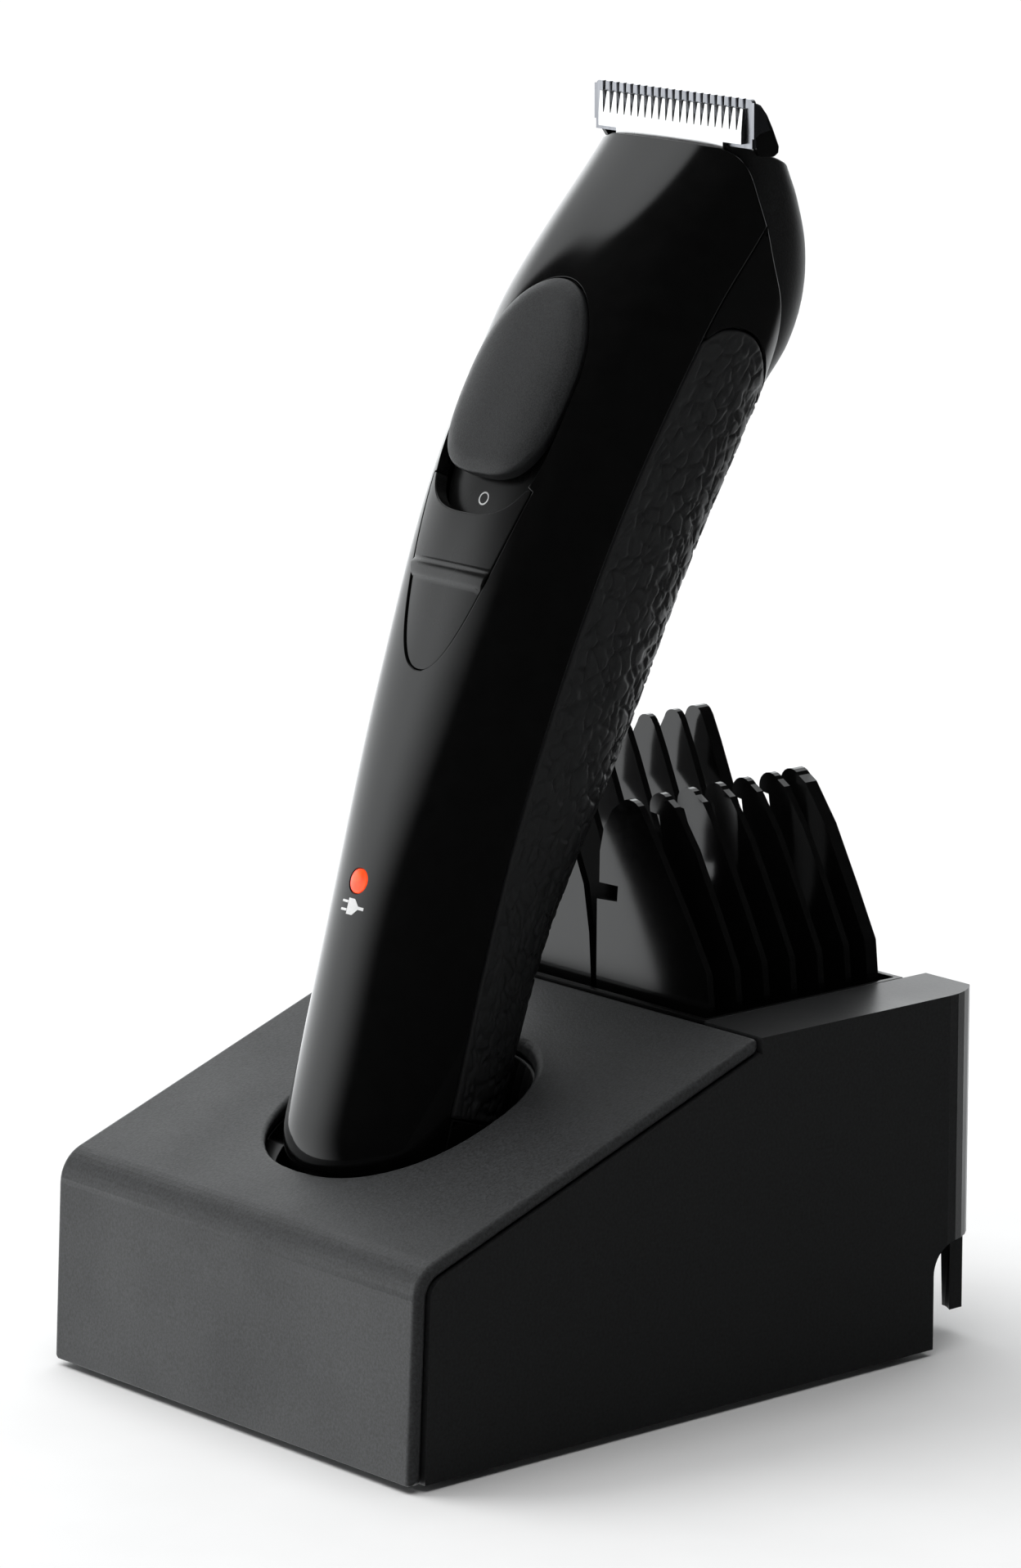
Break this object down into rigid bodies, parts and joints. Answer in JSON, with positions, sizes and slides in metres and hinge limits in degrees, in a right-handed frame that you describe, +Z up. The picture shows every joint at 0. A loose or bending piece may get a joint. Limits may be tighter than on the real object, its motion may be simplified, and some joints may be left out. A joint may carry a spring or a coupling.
{
  "type": "hair clipper in charging stand",
  "caption": "Slim cordless hair trimmer leaning in a wedge-shaped charging stand, with two toothed slide-on combs stored upright behind it.",
  "frame": {"origin": "middle of the stand's footprint, on the surface it stands on", "axes": "+Z up, the stand's front face looks towards -Y, +X to the right seen from the front"},
  "size_m": [0.08, 0.1094, 0.1797],
  "materials": {
    "stand_plastic": "fine-grained satin",
    "stand_cover_plastic": "spark-eroded matte",
    "base_plastic": "matte",
    "foot_rubber": "matte",
    "screw_steel": "plated",
    "inner_black_plastic": "semi-gloss",
    "contact_metal": "plated",
    "spring_steel": "drawn wire",
    "board_green": "solder mask",
    "gloss_black": "high gloss",
    "satin_black": "semi-gloss",
    "grip_rubber": "leather grain",
    "matte_black": "spark-eroded matte",
    "panel_black": "satin",
    "pad_black": "fine sparkle matte",
    "inner_grey_plastic": "moulded",
    "lamp_red": "clear",
    "battery_wrap": "shrink wrap",
    "inner_white_plastic": "moulded",
    "bush_brass": "sintered",
    "armature_copper": "wound",
    "blade_steel": "ground",
    "comb_black": "high gloss"
  },
  "bodies": {
    "stand": {"stand_housing": "stand_plastic", "stand_cover": "stand_cover_plastic", "stand_base": "base_plastic", "stand_feet": "foot_rubber", "stand_screws": "screw_steel", "socket_cup": "inner_black_plastic", "comb_tray": "inner_black_plastic", "contact_block": "inner_black_plastic", "contact_springs": "spring_steel", "charge_board": "board_green", "power_inlet": "inner_black_plastic"},
    "pins": {"contact_pins": "contact_metal"},
    "trimmer": {"front_housing": "gloss_black", "rear_housing": "satin_black", "grip": "grip_rubber", "head_cap": "matte_black", "switch_panel": "panel_black", "slide_switch": "inner_grey_plastic", "lamp_lens": "lamp_red", "lamp_led": "lamp_red", "charge_terminals": "contact_metal", "battery_cell": "battery_wrap", "battery_tabs": "contact_metal", "circuit_board": "board_green", "inner_frame": "inner_white_plastic", "motor_can": "screw_steel", "motor_end_cap": "inner_grey_plastic", "motor_bush": "bush_brass", "motor_mount": "inner_grey_plastic", "housing_screws": "screw_steel"},
    "switch": {"switch_pad": "pad_black", "switch_stem": "inner_grey_plastic"},
    "rotor": {"motor_shaft": "screw_steel", "motor_armature": "armature_copper", "drive_cam": "inner_white_plastic"},
    "blade_block": {"blade_holder": "inner_black_plastic", "fixed_blade": "blade_steel", "blade_spring": "spring_steel"},
    "cutter": {"moving_blade": "blade_steel", "drive_block": "inner_white_plastic"},
    "short_comb": {"comb_short": "comb_black"},
    "long_comb": {"comb_long": "comb_black"}
  },
  "joints": [
    {"name": "trimmer_lift", "type": "slide", "parent": "stand", "child": "trimmer", "axis": [0, 0.3256, 0.9455], "range_m": [0, 0.05]},
    {"name": "contact_pin_press", "type": "slide", "parent": "stand", "child": "pins", "axis": [0, -0.3256, -0.9455], "range_m": [0, 0.0012], "stiffness_N_per_m": 200, "deforming": ["contact_springs"]},
    {"name": "switch_slide", "type": "slide", "parent": "trimmer", "child": "switch", "axis": [0, -0.5047, -0.8633], "range_m": [0, 0.005]},
    {"name": "motor_spin", "type": "hinge", "parent": "trimmer", "child": "rotor", "pos_m": [0, 0.02245, 0.14081], "axis": [0, 0.3256, 0.9455], "continuous": true},
    {"name": "blade_block_lift", "type": "slide", "parent": "trimmer", "child": "blade_block", "axis": [0, 0.3256, 0.9455], "range_m": [0, 0.016]},
    {"name": "cutter_stroke", "type": "slide", "parent": "blade_block", "child": "cutter", "axis": [1, 0, 0], "range_m": [-0.001, 0.001]},
    {"name": "short_comb_lift", "type": "slide", "parent": "stand", "child": "short_comb", "axis": [0, 0.309, 0.9511], "range_m": [0, 0.009]},
    {"name": "long_comb_lift", "type": "slide", "parent": "stand", "child": "long_comb", "axis": [0, 0.309, 0.9511], "range_m": [0, 0.009]}
  ]
}
